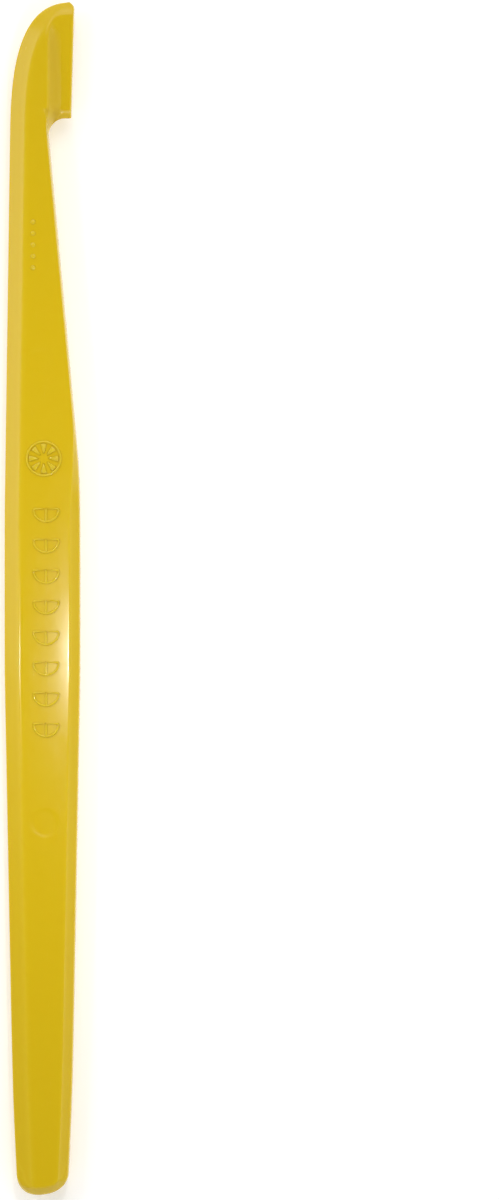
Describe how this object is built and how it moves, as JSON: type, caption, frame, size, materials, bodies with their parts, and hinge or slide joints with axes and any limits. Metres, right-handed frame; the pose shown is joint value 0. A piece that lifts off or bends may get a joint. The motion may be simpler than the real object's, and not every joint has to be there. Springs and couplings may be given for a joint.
{
  "type": "citrus peeler",
  "caption": "Slim one-piece moulded plastic peeler: a bevelled stem that ends in a curved lifting beak with a thin scoring tooth, for opening and lifting the peel of oranges.",
  "frame": {"origin": "middle of the bounding box in X and Y, on the surface that the peeler's back lies on", "axes": "+Y along the stem from the tail to the beak, +X towards the side that the tooth points to, +Z out of the marked face"},
  "size_m": [0.0094, 0.146, 0.0052],
  "materials": {
    "yellow_plastic": "satin"
  },
  "bodies": {
    "root": {"moulded_body": "yellow_plastic", "slice_emblem": "yellow_plastic", "half_slice_row": "yellow_plastic", "cavity_dots": "yellow_plastic"}
  },
  "joints": []
}
